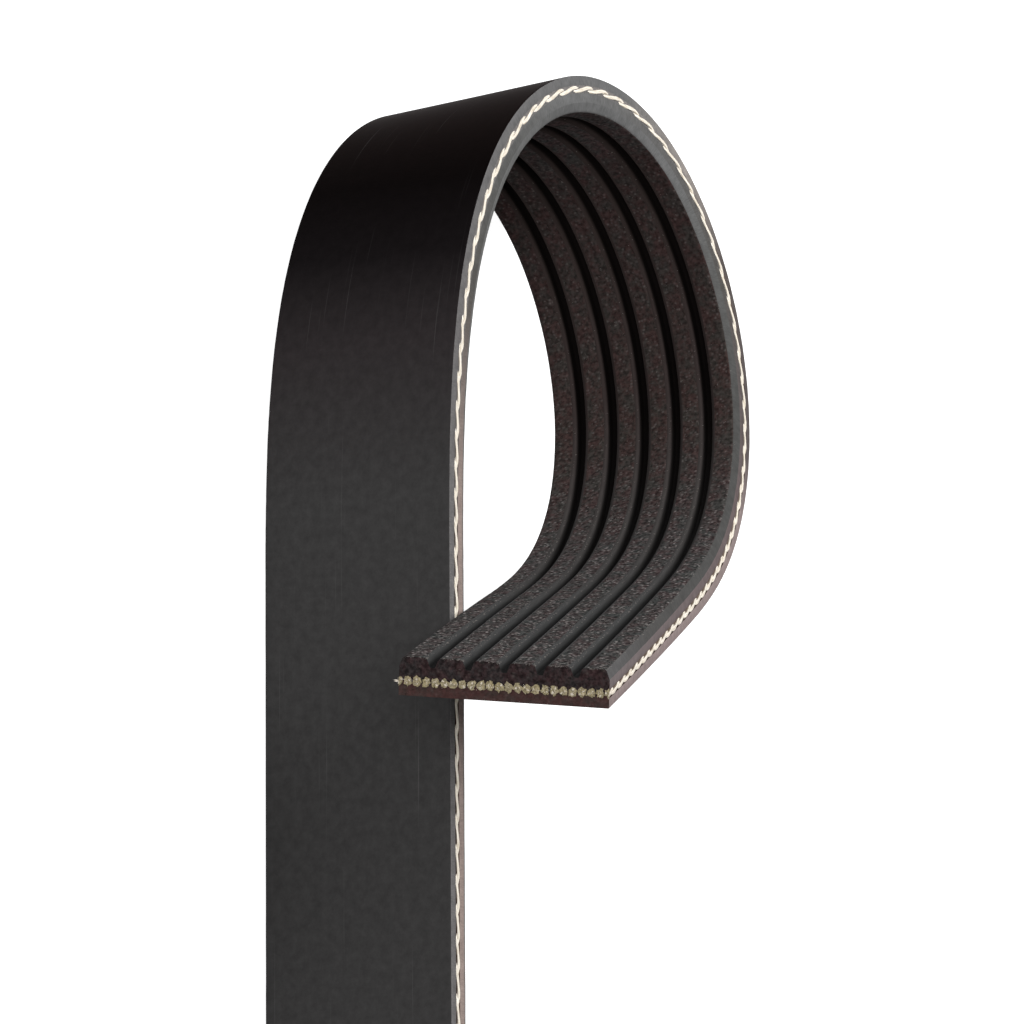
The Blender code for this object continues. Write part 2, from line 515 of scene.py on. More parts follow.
@dataclass(frozen=True, kw_only=True)
class PolyesterCord(Finish):
    """Twisted polyester cord, undyed: cream filaments that catch the light, with shade between them.

    The filaments are drawn about three times as wide as they are, so that they show.
    """

    name: str = "twisted_polyester_cord"
    roughness: float = 0.65
    specular: float = 0.5
    relief: float = 0.6
    shade: str = "#c4b7a0"
    light: str = "#f4ede2"
    filaments: Pattern = Pattern(1.2, 0.07, 3.0, found=(0.35, 0.6))

    def paint(self, tree: NodeTree) -> Paint:
        """Gives the filaments their light and shade."""
        lines = self.filaments.value(tree)
        return mixed(tree, linear(self.shade), linear(self.light), lines, self.filaments.found), lines


# The belt's route and section


@dataclass(frozen=True)
class BeltRoute:
    """Where the belt runs: straight, curling in, curling out, and a straight tail, with a twist.

    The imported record's mounts say where its straight end lies. most_twist is in radians for each metre.
    """

    record: dict
    straight: float = 0.075
    curl_in: float = 0.084
    curl_out: float = 0.0778
    tail: float = 0.0379
    tightest_radius: float = 0.0187
    most_twist: float = 6.93756
    twist_rise: float = 0.113
    twist_fall: float = 0.1033
    trace_step: float = 0.00025
    mount_height: float = -0.00085

    @property
    def length(self) -> float:
        """The belt's whole length."""
        return self.straight + self.curl_in + self.curl_out + self.tail

    def seat(self) -> Matrix:
        """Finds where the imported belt's straight end lies.

        Returns:
            The place of the section at the straight end: -X along the belt, +Y to the ribs.
        """
        mounts = {mount["name"]: mount for mount in self.record["mounts"]}
        end = mounts["straight_cut_end"]
        along = Vector(end["axis"]).normalized()
        ribs = -Vector(mounts["straight_back"]["axis"]).normalized()
        across = along.cross(ribs).normalized()
        ribs = across.cross(along)
        axes = Matrix((along, ribs, across)).transposed().to_4x4()
        return Matrix.Translation(Vector(end["pos_m"]) - ribs * self.mount_height) @ axes

    def turn(self, distance: float, length: float) -> Matrix:
        """Gives the section's rotation over a short length of belt.

        Args:
            distance: Middle of the length, from the straight end.
            length: The length.

        Returns:
            The rotation, in the section's own axes.
        """
        start = self.straight
        crown = start + self.curl_in
        peak = start + self.twist_rise
        bend = np.interp(distance, (start, crown, crown + self.curl_out), (0, 1 / self.tightest_radius, 0))
        twist = np.interp(distance, (start, peak, peak + self.twist_fall), (0, self.most_twist, 0))
        turn = Vector((twist, 0, -bend)) * length
        return Matrix.Rotation(turn.length, 4, turn) if turn.length > 0 else Matrix.Identity(4)

    def places(self, distances: np.ndarray) -> np.ndarray:
        """Traces the belt.

        Args:
            distances: Rising distances from the straight end. One past the belt's end goes on straight.

        Returns:
            One 4 x 4 matrix for each distance.
        """
        place = self.seat() @ Matrix.Translation((-float(distances[0]), 0, 0))
        found = [place.copy()]
        for start, end in zip(distances, distances[1:]):
            steps = max(1, math.ceil((end - start) / self.trace_step))
            length = (end - start) / steps
            for step in range(steps):
                half = self.turn(start + (step + 0.5) * length, length / 2)
                place = place @ half @ Matrix.Translation((-length, 0, 0)) @ half
            found.append(place.copy())
        return np.array([np.array(matrix) for matrix in found])


@dataclass(frozen=True)
class BeltSection:
    """The belt's cross-section. Heights are counted from the row of cords, ribs upwards."""

    rib_count: int = 6
    rib_pitch: float = 0.00356
    rib_top: float = 0.0024
    groove_depth: float = 0.001
    groove_angle: float = math.radians(40)
    groove_floor: float = 0.0005
    back: float = 0.00145
    rib_corner: float = 0.00038
    floor_corner: float = 0.00015
    back_corner: float = 0.00008
    slit_radius: float = 0.00043
    slit_floor: float = 0.00006
    slit_steps: int = 8
    arc_steps: int = 4
    point_gap: float = 0.0004

    @property
    def width(self) -> float:
        """Width of the belt between its slit sides."""
        return self.rib_count * self.rib_pitch - self.groove_floor

    @property
    def flank_run(self) -> float:
        """How far each flank of a rib leans in."""
        return self.groove_depth * math.tan(self.groove_angle / 2)

    def rib_centre(self, rib: int | np.ndarray) -> float | np.ndarray:
        """Gives a rib's place across the belt."""
        return (rib - (self.rib_count - 1) / 2) * self.rib_pitch

    def corners(self) -> list[tuple[float, float, float, Zone]]:
        """Lists the outline's corners, from the lower back corner round the ribs to the upper one.

        Returns:
            For each: height, place across, rounding radius, and the zone of the stretch after it.
        """
        side = self.width / 2
        foot = self.rib_top - self.groove_depth
        reach = (self.rib_pitch - self.groove_floor) / 2
        inner = reach - self.flank_run
        found = [(-self.back, -side, self.back_corner, Zone.SIDE)]
        for rib in range(self.rib_count):
            centre = self.rib_centre(rib)
            last = rib == self.rib_count - 1
            rise = Zone.FLANK if rib else Zone.EDGE_FLANK
            fall = Zone.EDGE_FLANK if last else Zone.FLANK
            found += [(foot, centre - reach, self.floor_corner, rise),
                      (self.rib_top, centre - inner, self.rib_corner, Zone.RIB_TOP),
                      (self.rib_top, centre + inner, self.rib_corner, fall),
                      (foot, centre + reach, self.floor_corner, Zone.SIDE if last else Zone.FLANK)]
        return found + [(-self.back, side, self.back_corner, Zone.BACK)]

    def rounded(self, before: Vector, corner: Vector, after: Vector, radius: float) -> list[Vector]:
        """Rounds one corner of the outline.

        Args:
            before: The corner before it.
            corner: The corner.
            after: The corner after it.
            radius: Radius of the rounding.

        Returns:
            Points along the rounding.
        """
        to_before = (before - corner).normalized()
        to_after = (after - corner).normalized()
        half = to_before.angle(to_after) / 2
        centre = corner + (to_before + to_after).normalized() * (radius / math.sin(half))
        start, end = ((corner + to_side * (radius / math.tan(half)) - centre).normalized()
                      for to_side in (to_before, to_after))
        return [centre + start.slerp(end, step / self.arc_steps) * radius
                for step in range(self.arc_steps + 1)]

    def slit_channel(self, side: float) -> list[Vector]:
        """Draws the shallow channel that shows round a slit cord, across the middle of a side.

        Args:
            side: Place of the side plane across the belt.

        Returns:
            Its points, from the back to the ribs.
        """
        inwards = -math.copysign(self.slit_floor, side)
        angles = [math.pi * step / self.slit_steps for step in range(self.slit_steps + 1)]
        return [Vector((-math.cos(a) * self.slit_radius, side + math.sin(a) * inwards)) for a in angles]

    def filled(self, start: Vector, end: Vector, zone: Zone) -> list[Vector]:
        """Fills a straight stretch of the outline with points, and cuts the slit channel into a side.

        Args:
            start: The stretch's first point.
            end: Its last point, which is left out.
            zone: The stretch's zone.

        Returns:
            The points from start up to the one before end.
        """
        if zone == Zone.SIDE and start.x * end.x < 0:
            channel = self.slit_channel(start.y)
            if start.x > end.x:
                channel.reverse()
            before = self.filled(start, channel[0], Zone.BACK)
            return before + channel[:-1] + self.filled(channel[-1], end, Zone.BACK)
        steps = max(1, round((end - start).length / self.point_gap))
        return [start.lerp(end, step / steps) for step in range(steps)]

    def outline(self) -> tuple[np.ndarray, list[Zone]]:
        """Draws the closed outline.

        Returns:
            Its points as (height, across), and the zone of the stretch after each point.
        """
        corners = self.corners()
        spots = [Vector(corner[:2]) for corner in corners]
        arcs = [self.rounded(spots[number - 1], spot, after, corners[number][2])
                for number, (spot, after) in enumerate(zip(spots, spots[1:] + spots[:1]))]
        points: list[Vector] = []
        zones: list[Zone] = []
        for number, arc in enumerate(arcs):
            before, after = corners[number - 1][3], corners[number][3]
            rib_edge = {before, after} == {Zone.RIB_TOP, Zone.FLANK}
            half = len(arc) // 2
            stretch = self.filled(arc[-1], arcs[(number + 1) % len(arcs)][0], after)
            points += arc[:-1] + stretch
            zones += [Zone.FLANK if rib_edge else before] * half
            zones += [Zone.FLANK if rib_edge else after] * (len(arc) - 1 - half)
            zones += [after] * len(stretch)
        outline = np.array([tuple(point) for point in points])
        middles = (outline + np.roll(outline, -1, axis=0))[:, 0] / 2
        for number, zone in enumerate(zones):
            if zone == Zone.SIDE and abs(middles[number]) < self.slit_radius:
                zones[number] = Zone.SLIT
            elif zone == Zone.SIDE and middles[number] > 0:
                zones[number] = Zone.RIB_SIDE
        return outline, zones


# Points and faces


def in_scene(name: str, data: bpy.types.ID) -> Object:
    """Puts a mesh, a lamp or a camera in the scene.

    Args:
        name: The object's name.
        data: What it holds.

    Returns:
        The object.
    """
    made = bpy.data.objects.new(name, data)
    bpy.context.scene.collection.objects.link(made)
    return made


def mesh_object(name: str, shape: Shape, materials: list[Material], zones: list[int] | None = None,
                heights: np.ndarray | None = None) -> Object:
    """Makes a mesh object in the scene.

    Args:
        name: The piece's name.
        shape: Its points, faces and pattern coordinates.
        materials: Its materials, in slot order.
        zones: The material slot of each face, or none for the first.
        heights: Distance along the belt and height in its section, in mm, for each face corner.

    Returns:
        The object.
    """
    points, faces, uvs = shape
    mesh = bpy.data.meshes.new(name)
    mesh.from_pydata(points.tolist(), [], faces)
    for material in materials:
        mesh.materials.append(material)
    if zones is not None:
        mesh.polygons.foreach_set("material_index", np.array(zones, dtype=np.int32))
    for uv_map, values in ((PLACE_UV, uvs), (HEIGHT_UV, heights)):
        if values is not None:
            layer = mesh.uv_layers.new(name=uv_map)
            layer.uv.foreach_set("vector", np.asarray(values, dtype=np.float32).ravel())
    mesh.shade_smooth()
    mesh.set_sharp_from_angle(angle=SHARP)
    mesh.update()
    return in_scene(name, mesh)


def placed(places: np.ndarray, local: np.ndarray) -> np.ndarray:
    """Moves section points out to their stations.

    Args:
        places: One matrix for each station.
        local: Points of each station, in the section's axes, stations first.

    Returns:
        The points in the object's frame, in one list.
    """
    moved = np.einsum("sij,spj->spi", places[:, :3, :3], local) + places[:, None, :3, 3]
    return moved.reshape(-1, 3)


def turned(places: np.ndarray, directions: np.ndarray) -> np.ndarray:
    """Turns one direction at each station from the section's axes to the object's."""
    return np.einsum("sij,sj->si", places[:, :3, :3], directions)


def ring_points(sides: int) -> np.ndarray:
    """Gives points all round a circle of radius 1."""
    angles = np.arange(sides) * math.tau / sides
    return np.stack([np.cos(angles), np.sin(angles)], axis=-1)


def ring_faces(rings: int, size: int, first: int = 0, inwards: bool = False) -> list[tuple[int, ...]]:
    """Joins closed rings of points into a tube.

    Args:
        rings: How many rings.
        size: Points in each.
        first: Number of the first point.
        inwards: True where the tube is a bore, whose faces look at its middle.

    Returns:
        The faces, ring by ring.
    """
    faces = []
    for start in range(first, first + (rings - 1) * size, size):
        for point in range(size):
            here, beside = start + point, start + (point + 1) % size
            face = (here, here + size, beside + size, beside)
            faces.append(face[::-1] if inwards else face)
    return faces


def ring_uvs(distances: np.ndarray, around: np.ndarray) -> np.ndarray:
    """Gives pattern coordinates to the faces that ring_faces makes.

    Args:
        distances: Each ring's distance along the belt.
        around: Each point's distance round the ring, and the whole way round as one more.

    Returns:
        Coordinates in mm for each face corner.
    """
    near, far = distances[:-1, None] / MM, distances[1:, None] / MM
    start, end = around[None, :-1] / MM, around[None, 1:] / MM
    blank = np.zeros((len(distances) - 1, len(around) - 1))
    corners = [(near, start), (far, start), (far, end), (near, end)]
    return np.stack([np.stack([u + blank, v + blank], axis=-1) for u, v in corners], axis=2).reshape(-1, 2)


def joined(parts: list[Shape]) -> Shape:
    """Puts several shapes together.

    Args:
        parts: The shapes.

    Returns:
        All of them as one.
    """
    faces = []
    first = 0
    for points, own, _ in parts:
        faces += [tuple(first + corner for corner in face) for face in own]
        first += len(points)
    return np.concatenate([part[0] for part in parts]), faces, np.concatenate([part[2] for part in parts])


def slivers(feet: np.ndarray, directions: np.ndarray, width: float) -> Shape:
    """Makes closed three-sided needles, pointed at both ends.

    Args:
        feet: Where each starts.
        directions: Where each goes, as long as the needle.
        width: How thick each is in the middle.

    Returns:
        Their shape.
    """
    # Any direction but the needle's own serves to find one square to it
    askew = np.roll(directions, 1, axis=1) + np.array((0.3, -0.2, 0.1)) * np.abs(directions).max()
    aside = np.cross(directions, askew)
    aside /= np.linalg.norm(aside, axis=1, keepdims=True)
    third = np.cross(directions / np.linalg.norm(directions, axis=1, keepdims=True), aside)
    middle = [feet + directions / 2 + (aside * across + third * up) * width / 2
              for across, up in ring_points(3)]
    points = np.stack([feet, *middle, feet + directions], axis=1).reshape(-1, 3)
    # A needle's five points are its foot, three round its middle and its tip
    pattern = ((0, 2, 1), (0, 3, 2), (0, 1, 3), (4, 1, 2), (4, 2, 3), (4, 3, 1))
    faces = [tuple(5 * needle + corner for corner in face) for needle in range(len(feet)) for face in pattern]
    # Each needle gets a spot of its own in the pattern, at all the corners of its faces
    uvs = np.repeat(np.arange(len(feet))[:, None] * (0.37, 0.61), 3 * len(pattern), axis=0)
    return points, faces, uvs


# The pieces


@dataclass
class RubberBody:
    """The moulded body: smooth back, six ribs, slit sides and the bores that the cords lie in."""

    route: BeltRoute
    section: BeltSection
    straight_step: float = 0.0015
    curl_step: float = 0.00075
    bore_step: float = 0.004
    bore_radius: float = 0.00043
    bore_sides: int = 10
    cut_grain: float = 0.00012
    # In grains: how far the grain points stray, and how far they keep off the bores and the outline
    cut_stray: float = 0.3
    bore_gap: float = 0.4
    outline_gap: float = 0.6
    cut_depth: float = 0.000025
    top_grain: float = 0.0009
    top_depth: float = 0.00002
    seed: int = 11

    def stations(self) -> np.ndarray:
        """Spaces the sections along the belt, closer in the curl than on the straight.

        Returns:
            Their distances.
        """
        start, end = self.route.straight, self.route.length
        curl = np.linspace(start, end, round((end - start) / self.curl_step) + 1)
        return np.append(np.arange(0, start, self.straight_step), curl)

    def roughened(self, outline: np.ndarray, zones: list[Zone], distances: np.ndarray) -> np.ndarray:
        """Repeats the outline at each station with the small unevenness of ground rubber.

        Args:
            outline: Points as height and place across.
            zones: The zone after each point.
            distances: The stations.

        Returns:
            Section points of each station.
        """
        local = np.zeros((len(distances), len(outline), 3))
        local[:, :, 1:] = outline
        for index, zone in enumerate(zones):
            if zone in (Zone.RIB_TOP, Zone.SIDE, Zone.RIB_SIDE, Zone.EDGE_FLANK):
                shifts = [noise.noise(Vector((distance, *outline[index])) / self.top_grain)
                          for distance in distances]
                local[:, index, 1 if zone == Zone.RIB_TOP else 2] += np.array(shifts) * self.top_depth
        return local

    def cut_face(self, outline: np.ndarray, bores: list[np.ndarray], draw: Generator
                 ) -> tuple[np.ndarray, list[tuple[int, ...]]]:
        """Fills a cut end with fine triangles, leaving the bores open.

        Args:
            outline: The section's outline.
            bores: The bores' rings.
            draw: Random numbers.

        Returns:
            Grain points inside the face, and triangles that count the outline first, then the rings, then
            the grain points.
        """
        columns = [np.arange(a, b, self.cut_grain) for a, b in zip(outline.min(axis=0), outline.max(axis=0))]
        grid = np.stack(np.meshgrid(*columns, indexing="ij"), axis=-1).reshape(-1, 2)
        grid += draw.uniform(-self.cut_stray, self.cut_stray, grid.shape) * self.cut_grain
        centres = np.array([bore.mean(axis=0) for bore in bores])
        for edge, gap in ((centres, self.bore_radius + self.cut_grain * self.bore_gap),
                          (outline, self.cut_grain * self.outline_gap)):
            grid = grid[np.linalg.norm(grid[:, None] - edge[None], axis=2).min(axis=1) > gap]
        edges = []
        for loop in (outline, *bores):
            first = len(edges)
            edges += [(first + i, first + (i + 1) % len(loop)) for i in range(len(loop))]
        points = [Vector(point) for point in np.concatenate([outline, *bores, grid]) / MM]
        # Mode 1 keeps the triangles inside the face. Points nearer than a millionth would be merged
        found = delaunay_2d_cdt(points, edges, [list(range(len(outline)))], 1, 1e-6)
        originals = [own[0] if own else -1 for own in found[3]]
        corners = np.array([tuple(point) for point in found[0]]) * MM
        triangles = []
        # A bore's sides are flat, so the faces beside it reach a little inside its radius
        bore_reach = self.bore_radius * 0.96
        for face in found[2]:
            middle = corners[list(face)].mean(axis=0)
            if np.linalg.norm(centres - middle, axis=1).min() > bore_reach:
                triangles.append(tuple(originals[corner] for corner in face))
        return grid, triangles

    def build(self, cords: list[float], finishes: dict[Zone, Material]) -> Object:
        """Builds the body and dresses it.

        Args:
            cords: Places of the inner cords across the belt.
            finishes: The material of each zone.

        Returns:
            The piece.
        """
        draw = default_rng(self.seed)
        outline, zones = self.section.outline()
        distances = self.stations()
        places = self.route.places(distances)
        size = len(outline)
        lengths = np.linalg.norm(np.roll(outline, -1, axis=0) - outline, axis=1)
        skin = (placed(places, self.roughened(outline, zones, distances)), ring_faces(len(distances), size),
                ring_uvs(distances, np.append(0, np.cumsum(lengths))))
        heights = ring_uvs(distances, np.append(outline[:, 0], outline[0, 0]))

        sides = self.bore_sides
        bores = [ring_points(sides) * self.bore_radius + (0, across) for across in cords]
        steps = round(self.route.length / self.bore_step)
        bore_distances = np.linspace(0, self.route.length, steps + 1)
        bore_places = self.route.places(bore_distances)
        bore_faces = ring_faces(steps + 1, sides, inwards=True)
        bore_uvs = ring_uvs(bore_distances, np.linspace(0, math.tau * self.bore_radius, sides + 1))[::-1]
        tubes = [(placed(bore_places, np.tile(np.column_stack([np.zeros(sides), ring]), (steps + 1, 1, 1))),
                  bore_faces, bore_uvs) for ring in bores]
        points, faces, uvs = joined([skin, *tubes])
        uvs = [uvs]
        face_zones = zones * (len(distances) - 1) + [Zone.CHANNEL] * (len(faces) - len(skin[1]))
        bore_starts = range(len(skin[0]), len(points), (steps + 1) * sides)

        for last in (False, True):
            grain, triangles = self.cut_face(outline, bores, draw)
            numbers = [(len(distances) - 1) * size * last + i for i in range(size)]
            numbers += [start + steps * sides * last + i for start in bore_starts for i in range(sides)]
            numbers += [len(points) + i for i in range(len(grain))]
            local = np.column_stack([draw.normal(0, self.cut_depth, len(grain)), grain])
            points = np.concatenate([points, placed(places[-1:] if last else places[:1], local[None])])
            flat_mm = np.concatenate([outline, *bores, grain]) / MM
            for triangle in triangles:
                corners = triangle[::-1] if last else triangle
                faces.append(tuple(numbers[corner] for corner in corners))
                spots = flat_mm[list(corners)]
                face_zones.append(Zone.CUT_RIBS if spots[:, 0].mean() > 0 else Zone.CUT_BACK)
                uvs.append(spots)
        whole_uvs = np.concatenate(uvs)
        whole_heights = np.concatenate([heights, whole_uvs[len(heights):]])
        return mesh_object("belt_rubber", (points, faces, whole_uvs), [finishes[zone] for zone in Zone],
                           face_zones, whole_heights)


@dataclass
class TensileCord:
    """One twisted cord of two strands. One at a side is slit, so its strands show as slanting dashes."""

    index: int
    across: float
    route: BeltRoute
    section: BeltSection
    strands: int = 2
    strand_radius: float = 0.0002
    helix_radius: float = 0.0002
    lay: float = 0.006
    strand_sides: int = 8
    wobble: float = 0.06
    tip: float = 0.00005
    coarse_step: float = 0.0048
    fine_step: float = 0.0002
    fine_end: float = 0.0024
    proud: float = 0.00008
    slit_depth: float = 0.00014
    slit_fit: float = 0.98
    sticks_out: float = 0.00012
    sticks_share: Pair = (0.3, 1.0)
    # Each ring of a cut end: its share of the end's reach, and how far it stands out, in sticks_out
    cap_rings: tuple[Pair, ...] = ((0.7, -2.0), (1.0, 0.1), (0.6, 0.3), (0.25, 0.3))
    cap_reach: Pair = (0.00046, 0.00042)
    cap_ragged: float = 0.00007
    cap_bumps: float = 0.15
    cap_sides: int = 18
    frays: int = 10
    fray_length: float = 0.00025
    fray_width: float = 0.00004
    fray_lean: float = 0.55
    fray_spread: float = 0.00016
    fray_share: Pair = (0.4, 1.0)
    loose_fibres: int = 14
    loose_length: float = 0.00065
    loose_spread: float = 0.00008
    loose_lean: float = 0.12
    loose_rise: float = -0.25
    seed: int = 100
    draw: Generator = field(init=False)

    def __post_init__(self) -> None:
        """Seeds the cord's own random numbers."""
        self.draw = default_rng(self.seed + self.index)

    @property
    def slit(self) -> bool:
        """Whether the cord lies in a side face."""
        return abs(self.across) > self.section.width / 2 - self.strand_radius

    def stations(self) -> np.ndarray:
        """Spaces the cord's rings: fine all along where it shows, else only at its ends.

        Returns:
            The distances, a little past both ends of the rubber.
        """
        start = -self.draw.uniform(*self.sticks_share) * self.sticks_out
        end = self.route.length + self.draw.uniform(*self.sticks_share) * self.sticks_out
        if self.slit:
            return np.linspace(start, end, round((end - start) / self.fine_step) + 1)
        fine = round(self.fine_end / self.fine_step)
        near = np.linspace(start, self.fine_end, fine + 1)
        far = np.linspace(self.route.length - self.fine_end, end, fine + 1)
        steps = round(self.route.length / self.coarse_step)
        return np.concatenate([near, np.linspace(near[-1], far[0], steps)[1:-1], far])

    def strand(self, phase: float, distances: np.ndarray, places: np.ndarray) -> Shape:
        """Builds one strand of the cord.

        Args:
            phase: The strand's turn round the cord at the straight end.
            distances: The rings' distances.
            places: The rings' places.

        Returns:
            Its shape.
        """
        rings, sides = len(distances), self.strand_sides
        turn = phase + distances * math.tau / self.lay
        wobble = 1 + self.draw.uniform(-self.wobble, self.wobble, (rings, sides))
        round_height, round_outwards = ring_points(sides).T * self.strand_radius
        height = np.cos(turn)[:, None] * self.helix_radius + round_height * wobble
        outwards = np.sin(turn)[:, None] * self.helix_radius + round_outwards * wobble
        if self.slit:
            height, outwards = self.slit_away(height, outwards)
        local = np.stack([np.zeros_like(height), height, self.across + outwards], axis=-1)
        faces = ring_faces(rings, sides)
        around = np.linspace(0, math.tau * self.strand_radius, sides + 1)
        tips = [placed(places[[ring]], (local[ring].mean(axis=0) + (lift, 0, 0))[None, None])
                for ring, lift in ((0, self.tip), (-1, -self.tip))]
        count = rings * sides
        for point in range(sides):
            beside = (point + 1) % sides
            faces += [(point, beside, count), (count - sides + beside, count - sides + point, count + 1)]
        # Every triangle of the two tips takes the same small patch of the pattern
        cap = np.tile([[0.0, 0.0], [0.05, 0.05], [0.1, 0.0]], (2 * sides, 1))
        uvs = np.concatenate([ring_uvs(distances, around + phase * MM), cap])
        return np.concatenate([placed(places, local), *tips]), faces, uvs

    def slit_away(self, height: np.ndarray, outwards: np.ndarray) -> tuple[np.ndarray, np.ndarray]:
        """Presses the cord into its half-round channel, as the slitting left it.

        The slit ran clear of the cord's middle, so only the outer turns of its strands show.

        Args:
            height: Heights of the strand's points.
            outwards: Their places across, from the cord's own.

        Returns:
            The pressed heights and places.
        """
        side = math.copysign(1.0, self.across)
        out = outwards * side - self.slit_depth
        pressed = np.where(out > 0, self.proud * np.tanh(out / self.proud), out)
        reach = self.section.slit_radius * self.slit_fit
        shrink = np.minimum(1.0, reach / np.maximum(np.hypot(height, pressed), 1e-9))
        return height * shrink, pressed * shrink * side

    def cut_caps(self, places: np.ndarray) -> Shape:
        """Builds the spread, ragged face that each cut end of the cord has.

        Args:
            places: The places of all the rings.

        Returns:
            Their shape.
        """
        sides, rings = self.cap_sides, len(self.cap_rings)
        limit = self.section.width / 2
        parts = []
        for outwards, place in ((1, places[0]), (-1, places[-1])):
            drawn = []
            for share, lift in self.cap_rings:
                ragged = self.draw.normal(0, self.cap_ragged, (sides, 2)) * share
                ring = ring_points(sides) * self.cap_reach * share + ragged + (0, self.across)
                ring[:, 1] = np.clip(ring[:, 1], -limit, limit)
                depth = lift * outwards + self.draw.normal(0, self.cap_bumps, sides)
                drawn.append(np.column_stack([depth * self.sticks_out, ring]))
            local = np.concatenate(drawn)
            faces = ring_faces(rings, sides, inwards=outwards > 0)
            for first, flip in ((0, outwards > 0), ((rings - 1) * sides, outwards < 0)):
                lid = tuple(range(first, first + sides))
                faces.append(lid[::-1] if flip else lid)
            spots = [local[corner, 1:] / MM for face in faces for corner in face]
            parts.append((placed(place[None], local[None]), faces, np.array(spots)))
        return joined(parts)

    def fray(self, places: np.ndarray) -> Shape:
        """Adds the loose filaments at the cord's two cut ends.

        Args:
            places: The places of all the rings.

        Returns:
            Their shape.
        """
        limit = self.section.width / 2
        ends, starts, directions = [], [], []
        for end, outwards in ((0, 1), (-1, -1)):
            for _ in range(self.frays):
                lean = self.draw.normal(0, self.fray_lean, 2)
                height, aside = self.draw.normal(0, self.fray_spread, 2)
                ends.append(end)
                starts.append((0, height, np.clip(self.across + aside, -limit, limit)))
                length = self.draw.uniform(*self.fray_share) * self.fray_length
                directions.append(np.array((outwards, *lean)) * length)
        if self.slit and self.across < 0:
            for _ in range(self.loose_fibres):
                ends.append(-1)
                starts.append((0, self.draw.normal(0, self.loose_spread), -limit))
                aim = np.array((self.loose_rise, self.draw.normal(0, self.loose_lean), -1.0))
                directions.append(aim * self.draw.uniform(*self.fray_share) * self.loose_length)
        feet = placed(places[ends], np.array(starts)[:, None])
        return slivers(feet, turned(places[ends], np.array(directions)), self.fray_width)

    def build(self, finish: Material, cut_finish: Material) -> Object:
        """Builds the cord and dresses it.

        Args:
            finish: Its material.
            cut_finish: The material of its cut ends.

        Returns:
            The piece.
        """
        distances = self.stations()
        places = self.route.places(distances)
        phase = self.draw.uniform(0, math.tau)
        parts = [self.strand(phase + number * math.tau / self.strands, distances, places)
                 for number in range(self.strands)]
        parts += [self.fray(places), self.cut_caps(places)]
        shape = joined(parts)
        caps = len(parts[-1][1])
        zones = [0] * (len(shape[1]) - caps) + [1] * caps
        return mesh_object(f"tensile_cord_{self.index:02d}", shape, [finish, cut_finish], zones)


@dataclass
class RibFibres:
    """Ends of chopped fibre that stand out of the ground rib tops, thickest towards the cut end.

    They are drawn about three times as wide as they are, so that they show.
    """

    route: BeltRoute
    section: BeltSection
    count: int = 11000
    crowding: float = 0.22
    length: Pair = (0.00018, 0.00042)
    width: float = 0.00009
    sunk: float = 0.00006
    sunk_share: float = 0.35
    edge_drop: float = 0.35
    way_spread: float = 0.7
    lean: Pair = (0.05, 0.5)
    end_count: int = 500
    end_share: float = 0.002
    end_gap: float = 0.0002
    seed: int = 7

    def build(self, finish: Material) -> Object:
        """Strews the fibres and dresses them.

        Args:
            finish: Their material.

        Returns:
            The piece.
        """
        draw = default_rng(self.seed)
        section = self.section
        share = draw.uniform(0, 1, self.count) ** self.crowding
        share[:self.end_count] = 1 - draw.uniform(0, self.end_share, self.end_count)
        places = self.route.places(np.sort(share) * (self.route.length - self.end_gap) + self.end_gap)
        centres = section.rib_centre(draw.integers(0, section.rib_count, self.count))
        half_top = (section.rib_pitch - section.groove_floor) / 2 - section.flank_run
        offset = draw.uniform(-half_top, half_top, self.count)
        edge = np.clip((np.abs(offset) - half_top + section.rib_corner) / section.rib_corner, 0, 1)
        height = section.rib_top - self.sunk - edge ** 2 * section.rib_corner * self.edge_drop
        long = draw.uniform(*self.length, self.count)
        way = draw.normal(math.pi / 2, self.way_spread, self.count)
        lean = draw.uniform(*self.lean, self.count)
        local = np.stack([np.cos(way) * np.cos(lean), np.sin(lean), np.sin(way) * np.cos(lean)], axis=-1)
        feet = np.stack([np.zeros(self.count), height, centres + offset], axis=-1)
        directions = turned(places, local * long[:, None])
        feet = placed(places, feet[:, None]) - directions * self.sunk_share
        return mesh_object("rib_fibre_ends", slivers(feet, directions, self.width), [finish])


# The studio


@dataclass(frozen=True)
class Lamp:
    """A soft round lamp that looks at the belt. Its power is in watts."""

    name: str
    place: Triple
    size: float
    power: float

    def hang(self) -> None:
        """Hangs the lamp."""
        light = bpy.data.lights.new(self.name, "AREA")
        light.shape = "DISK"
        light.size = self.size
        light.energy = self.power
        holder = in_scene(self.name, light)
        holder.location = self.place
        holder.rotation_euler = (-Vector(self.place)).to_track_quat("-Z", "Y").to_euler()
        holder.visible_camera = False


